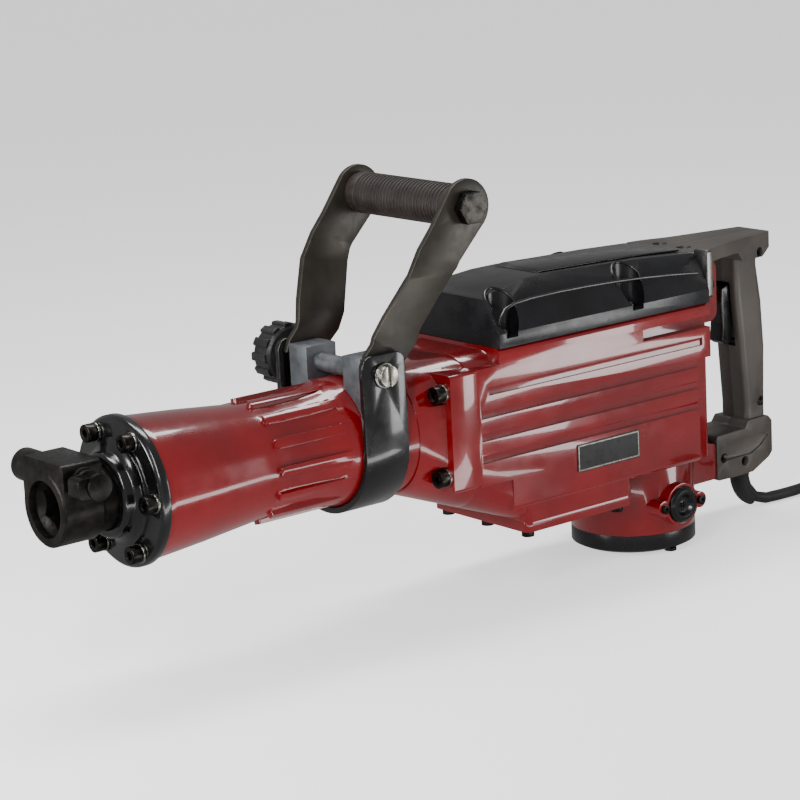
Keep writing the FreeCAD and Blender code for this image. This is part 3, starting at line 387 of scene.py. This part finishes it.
class JACKHAMMER_OT_screws(bpy.types.Operator):
    """Screws, washers and bolts"""
    bl_idname = "jackhammer.screws"
    bl_label = "Screws"

    def execute(self, context):
        oxide = black_oxide()
        for node in ("front_cover_bolts", "barrel_bolts", "handle_screws", "cover_screws", "sump_screws",
                     "motor_screws"):
            softened(node, oxide, 0.5)
        dress(["bail_bolt"], oxide)
        zinc = bright_zinc()
        softened("washers", zinc, 0.3)
        softened("clamp_bolt", zinc, 0.6)
        return {"FINISHED"}


class JACKHAMMER_OT_bail(bpy.types.Operator):
    """Clamp band, bail arms, front grip and clamping knob"""
    bl_idname = "jackhammer.bail"
    bl_label = "Bail handle"

    def execute(self, context):
        softened("clamp_band", black_enamel(), 0.8)
        bronze = bronze_coat(context.scene.jackhammer_colours)
        softened("bail_arm_left", bronze, 1.0)
        softened("bail_arm_right", bronze, 1.0)
        softened("bail_grip", grip_rubber(), 0.25)
        softened("clamp_knob", knob_phenolic(), 0.8)
        softened("clamp_saddle", cast_alloy(), 1.0)
        return {"FINISHED"}


def bead(name, path, radius, material):
    """A round moulded bead along a path, closed at both ends."""
    mesh = bmesh.new()
    ring = bmesh.ops.create_circle(mesh, segments=10, radius=radius * MM, cap_ends=True)["verts"]
    along = (path[1] - path[0]).normalized()
    turn = Vector((0, 0, 1)).rotation_difference(along)
    bmesh.ops.rotate(mesh, verts=ring, matrix=turn.to_matrix())
    bmesh.ops.translate(mesh, verts=ring, vec=path[0])
    edges = mesh.edges[:]
    for before, here, after in zip(path, path[1:], path[2:] + [2 * path[-1] - path[-2]]):
        made = bmesh.ops.extrude_edge_only(mesh, edges=edges)["geom"]
        ring = [item for item in made if isinstance(item, bmesh.types.BMVert)]
        edges = [item for item in made if isinstance(item, bmesh.types.BMEdge)
                 and all(vert in ring for vert in item.verts)]
        bmesh.ops.translate(mesh, verts=ring, vec=here - before)
        heading = (after - before).normalized()
        bmesh.ops.rotate(mesh, cent=here, verts=ring, matrix=along.rotation_difference(heading).to_matrix())
        along = heading
    bmesh.ops.edgeloop_fill(mesh, edges=edges)
    return new_piece(name, mesh, material, ROOT)


# Corners of the top cover's sloping shoulder, in millimetres out from its middle and up from the axis.
COVER_EDGE = (58, 68)
COVER_BREAK = (46, 90)
COVER_TOP = (31, 101.5)

# Centre line of the shoulder's bead, in millimetres along the tool and out from its middle.
COVER_ARCH = [(373, 54.5), (377, 52), (384, 49.2), (395, 47.6), (412, 46.9), (440, 46.7), (470, 46.9),
              (500, 47.4), (530, 48.2), (560, 49.4), (586, 50.8)]
ARCH_RADIUS = 1.3

# The hoods run round the inner side of the cover's screw wells.
WELLS_X = (383, 514)
WELLS_Y = 47
HOOD_REACH = 12.9
HOOD_RADIUS = 1.2
HOOD_FROM = -10
HOOD_SWEEP = 200
HOOD_STEPS = 12


def shoulder_height(y):
    """Height of the top cover's sloping shoulder at this distance from its middle."""
    if y > COVER_BREAK[0]:
        (outer, low), (inner, high) = COVER_EDGE, COVER_BREAK
    else:
        (outer, low), (inner, high) = COVER_BREAK, COVER_TOP
    return low + (outer - y) * (high - low) / (outer - inner)


def hood_path(well_x, side):
    """The line of a hood: the part of a circle round a well, laid on the shoulder."""
    path = []
    for step in range(HOOD_STEPS + 1):
        angle = math.radians(HOOD_FROM + step * HOOD_SWEEP / HOOD_STEPS)
        y = WELLS_Y - HOOD_REACH * math.sin(angle)
        path.append(place(well_x + HOOD_REACH * math.cos(angle), side * y, shoulder_height(y)))
    return path


class JACKHAMMER_OT_cover(bpy.types.Operator):
    """Black top cover with its panel, arched shoulder beads and hooded screw wells"""
    bl_idname = "jackhammer.cover"
    bl_label = "Top cover"

    def execute(self, context):
        black = satin_nylon()
        softened("top_cover", black, 2.0, segments=3)
        softened("cover_panel", polished_abs(), 0.6)
        for side, label in ((-1, "right"), (1, "left")):
            path = [place(x, side * y, shoulder_height(y)) for x, y in COVER_ARCH]
            bead("cover_arch_" + label, path, ARCH_RADIUS, black)
            for number, x in enumerate(WELLS_X, 1):
                bead("cover_hood_%s_%d" % (label, number), hood_path(x, side), HOOD_RADIUS, black)
        return {"FINISHED"}


TAB_DROP = 12  # millimetres
TABS_MIDDLE = 80  # a height between the tabs' lower and upper edges, in millimetres above the axis


def lower_far_tab(mesh):
    """Lowers the top of the steel tab on the knob's side, so that it stays behind the top cover."""
    top = [vert for vert in mesh.verts if vert.co.y > 0 and vert.co.z > place(0, 0, TABS_MIDDLE).z]
    bmesh.ops.translate(mesh, verts=top, vec=(0, 0, -TAB_DROP * MM))


class JACKHAMMER_OT_handle(bpy.types.Operator):
    """Rear handle with its trigger and steel tabs"""
    bl_idname = "jackhammer.handle"
    bl_label = "Rear handle"

    def execute(self, context):
        grey = grey_nylon(context.scene.jackhammer_colours)
        softened("handle_left", grey, 1.2)
        softened("handle_right", grey, 1.2)
        softened("trigger", polished_abs(), 0.8)
        softened("handle_tabs", plated_sheet(), 0.5, reshape=lower_far_tab)
        dress(["switch"], satin_nylon())
        return {"FINISHED"}


class JACKHAMMER_OT_motor(bpy.types.Operator):
    """Tail cover, brush caps and everything inside the motor and gearbox"""
    bl_idname = "jackhammer.motor"
    bl_label = "Motor and gears"

    def execute(self, context):
        black = satin_nylon()
        softened("tail_cover", black, 0.9)
        softened("brush_caps", polished_abs(), 0.6)
        dress(["fan"], black)
        dress(["hammer_cylinder", "piston", "piston_pin", "striker", "impact_bolt", "connecting_rod",
               "crank_pin", "crankshaft", "crank_gear", "layshaft", "layshaft_gear", "motor_pinion",
               "armature_shaft", "crank_bearing", "layshaft_bearings", "motor_bearings"], ground_steel())
        dress(["stator", "armature_core"], laminations())
        dress(["commutator"], turned_copper())
        dress(["brushes"], pressed_carbon())
        dress(["buffer_ring"], sheath_rubber())
        return {"FINISHED"}


# Both outlines of the nameplate's border, in millimetres in from the plate's edge, and its height.
BORDER_INSETS = (0.8, 1.7)
BORDER_HEIGHT = 0.25


class JACKHAMMER_OT_label(bpy.types.Operator):
    """Blank nameplate with a thin bright border"""
    bl_idname = "jackhammer.label"
    bl_label = "Nameplate"

    def execute(self, context):
        dress(["nameplate"], label_foil())
        low, high = (Vector(corner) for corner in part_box("nameplate"))
        mesh = bmesh.new()
        for inset in (distance * MM for distance in BORDER_INSETS):
            corners = [mesh.verts.new((x, low.y, z)) for x, z in (
                (low.x + inset, low.z + inset), (high.x - inset, low.z + inset),
                (high.x - inset, high.z - inset), (low.x + inset, high.z - inset))]
            for first, second in zip(corners, corners[1:] + corners[:1]):
                mesh.edges.new((first, second))
        bmesh.ops.bridge_loops(mesh, edges=mesh.edges[:])
        made = bmesh.ops.extrude_face_region(mesh, geom=mesh.faces[:], use_keep_orig=True)["geom"]
        raised = [item for item in made if isinstance(item, bmesh.types.BMVert)]
        bmesh.ops.translate(mesh, verts=raised, vec=(0, -BORDER_HEIGHT * MM, 0))
        new_piece("nameplate_border", mesh, bright_zinc(), ROOT)
        return {"FINISHED"}


# ---------------------------------------------------------------- mains lead

# The lead's route in millimetres: out of the guard and along the floor, round the coil, and to the plug.
ON_FLOOR = -139.25
LEAD_START = [(680, 0, -84), (680, 0, ON_FLOOR), (735, -8, ON_FLOOR), (784, -1.5, ON_FLOOR),
              (827.6, -1.5, ON_FLOOR)]
LEAD_END = [(827.5, -124.5, -110.75), (795, -124.5, -110.75), (765, -124.5, -129.75),
            (734, -124.5, -129.75)]
COIL_CENTRE = (862, -63)
POINTS_A_TURN = 24
TURNS = 11.5

# The column that each turn lies in, -1 for the inner one. A column stays the same where the lead climbs.
COLUMNS = [1, 0, -1, -1, 0, 1, 1, 0, -1, -1, 0, 1, 1]
A_LAYER = 3


def coil_points(lead):
    """The put-away lead: rings of three turns side by side, in four layers, wound without crossing.

    A turn moves aside to the next column over its last sixth, or climbs a layer over the sixth before.
    The curve cuts the corners of its points, so these lie a little outside it.
    """
    pitch = lead.diameter / MM
    middle = lead.coil_radius / MM
    pull = (1 + math.cos(2 * math.pi / POINTS_A_TURN)) / 2
    points = []
    for index in range(int(TURNS * POINTS_A_TURN) + 1):
        turn, part = divmod(index / POINTS_A_TURN, 1.0)
        now, following = COLUMNS[int(turn)], COLUMNS[int(turn) + 1]
        side = min(1.0, max(0.0, (part - 5 / 6) * 6))
        rise = min(1.0, max(0.0, (part - 4 / 6) * 6)) if now == following else 0.0
        layer = int(turn) // A_LAYER + (rise if int(turn) % A_LAYER == A_LAYER - 1 else 0.0)
        radius = (middle + pitch * (now + (following - now) * side)) / pull
        angle = math.pi / 2 - 2 * math.pi * (index / POINTS_A_TURN)
        points.append((COIL_CENTRE[0] + radius * math.cos(angle), COIL_CENTRE[1] + radius * math.sin(angle),
                       ON_FLOOR + pitch * layer))
    return points


class JACKHAMMER_OT_lead(bpy.types.Operator):
    """Mains lead with its guard, tie and plug"""
    bl_idname = "jackhammer.lead"
    bl_label = "Mains lead"

    def execute(self, context):
        lead = context.scene.jackhammer_lead
        rubber = sheath_rubber()
        softened("cord_guard", rubber, 0.4)
        softened("plug", rubber, 1.2)
        softened("coil_tie", woven_tape(), 0.3)
        route = [place(*point) for point in LEAD_START + coil_points(lead) + LEAD_END]
        curve = bpy.data.curves.new("mains_lead", "CURVE")
        curve.dimensions = "3D"
        spline = curve.splines.new("NURBS")
        spline.points.add(len(route) - 1)
        for point, spot in zip(spline.points, route):
            point.co = (*spot, 1.0)
        spline.order_u = 3
        spline.use_endpoint_u = True
        spline.resolution_u = 4
        curve.bevel_depth = lead.diameter / 2
        curve.bevel_resolution = 5
        curve.use_fill_caps = True
        curve.materials.append(rubber)
        piece = bpy.data.objects.new("mains_lead", curve)
        context.scene.collection.objects.link(piece)
        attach(piece, ROOT)
        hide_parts("lead", "lead_coil")
        return {"FINISHED"}


# ---------------------------------------------------------------- studio

CAMERA_LENS = 123.08  # millimetres, on a sensor 36 mm wide
CAMERA_SPOT = (-1.28520, -1.59630, 0.63747)
CAMERA_RIGHT = Vector((0.7784679, -0.6256597, -0.0503754))
CAMERA_UP = Vector((0.1812815, 0.1472681, 0.9723421))
FLOOR_SIZE = 20.0  # metres from the middle to each edge
FLOOR_DROP = 0.5  # millimetres under the tool
WORLD_STRENGTH = 0.3


def softbox(name, spot, target, power, width, height):
    """A rectangular white light that faces a point, and that the camera doesn't see."""
    light = bpy.data.lights.new(name, "AREA")
    light.shape = "RECTANGLE"
    light.size, light.size_y = width, height
    light.energy = power
    lamp = bpy.data.objects.new(name, light)
    aim = (Vector(target) - Vector(spot)).to_track_quat("-Z", "Y")
    lamp.matrix_world = Matrix.Translation(spot) @ aim.to_matrix().to_4x4()
    lamp.visible_camera = False
    bpy.context.scene.collection.objects.link(lamp)


class JACKHAMMER_OT_studio(bpy.types.Operator):
    """White paper floor, softboxes and the camera"""
    bl_idname = "jackhammer.studio"
    bl_label = "Studio"

    def execute(self, context):
        studio = context.scene.jackhammer_studio
        mesh = bmesh.new()
        bmesh.ops.create_grid(mesh, x_segments=1, y_segments=1, size=FLOOR_SIZE)
        data = bpy.data.meshes.new("studio_floor")
        mesh.to_mesh(data)
        mesh.free()
        data.materials.append(studio_paper())
        floor = bpy.data.objects.new("studio_floor", data)
        floor.location.z = -FLOOR_DROP * MM
        context.scene.collection.objects.link(floor)
        floor.visible_glossy = False
        middle = (0.0, 0.0, 0.15)
        softbox("key_light", (-1.2, -0.9, 1.1), middle, studio.key, 0.16, 1.1)
        softbox("side_light", (0.54, -0.56, 0.16), (0.2, -0.06, 0.13), studio.side, 0.24, 0.32)
        softbox("top_light", (0.1, 0.35, 1.6), middle, studio.top, 1.6, 0.4)
        softbox("front_light", (-0.9, 0.1, 0.3), (-0.3, 0.0, 0.14), studio.front, 0.15, 0.4)
        softbox("low_light", (-0.2, -0.34, 0.01), (-0.2, -0.34, 1.0), studio.low, 0.9, 0.1)
        world = bpy.data.worlds.new("studio_world")
        world.use_nodes = True
        background = world.node_tree.nodes["Background"]
        background.inputs["Color"].default_value = linear("#ffffff")
        background.inputs["Strength"].default_value = WORLD_STRENGTH
        context.scene.world = world
        data = bpy.data.cameras.new("product_camera")
        data.sensor_width = 36.0
        data.lens = CAMERA_LENS
        camera = bpy.data.objects.new("product_camera", data)
        turn = Matrix((CAMERA_RIGHT, CAMERA_UP, CAMERA_RIGHT.cross(CAMERA_UP))).transposed().to_4x4()
        camera.matrix_world = Matrix.Translation(CAMERA_SPOT) @ turn
        context.scene.collection.objects.link(camera)
        context.scene.camera = camera
        return {"FINISHED"}


class JACKHAMMER_PT_panel(bpy.types.Panel):
    """Lists the pieces of the jackhammer"""
    bl_idname = "JACKHAMMER_PT_panel"
    bl_label = "Jackhammer"
    bl_space_type = "VIEW_3D"
    bl_region_type = "UI"
    bl_category = "Jackhammer"

    def draw(self, context):
        for operator in OPERATORS:
            self.layout.operator(operator.bl_idname)
        for name in ("diameter", "length", "coil_radius"):
            self.layout.prop(context.scene.jackhammer_lead, name)
        for name in ("enamel", "enamel_light", "bail", "bail_light", "handle", "handle_light"):
            self.layout.prop(context.scene.jackhammer_colours, name)
        for name in ("key", "side", "top", "low", "front"):
            self.layout.prop(context.scene.jackhammer_studio, name)


OPERATORS = (JACKHAMMER_OT_housing, JACKHAMMER_OT_front, JACKHAMMER_OT_screws, JACKHAMMER_OT_bail,
             JACKHAMMER_OT_cover, JACKHAMMER_OT_handle, JACKHAMMER_OT_motor, JACKHAMMER_OT_label,
             JACKHAMMER_OT_lead, JACKHAMMER_OT_studio)
CLASSES = (JackhammerLead, JackhammerColours, JackhammerStudio) + OPERATORS + (JACKHAMMER_PT_panel,)


def register():
    for item in CLASSES:
        bpy.utils.register_class(item)
    bpy.types.Scene.jackhammer_lead = bpy.props.PointerProperty(type=JackhammerLead)
    bpy.types.Scene.jackhammer_colours = bpy.props.PointerProperty(type=JackhammerColours)
    bpy.types.Scene.jackhammer_studio = bpy.props.PointerProperty(type=JackhammerStudio)


def unregister():
    del bpy.types.Scene.jackhammer_studio
    del bpy.types.Scene.jackhammer_colours
    del bpy.types.Scene.jackhammer_lead
    for item in reversed(CLASSES):
        bpy.utils.unregister_class(item)


def main():
    register()
    for operator in OPERATORS:
        getattr(bpy.ops.jackhammer, operator.bl_idname.split(".")[1])()


if __name__ == "__main__":
    main()
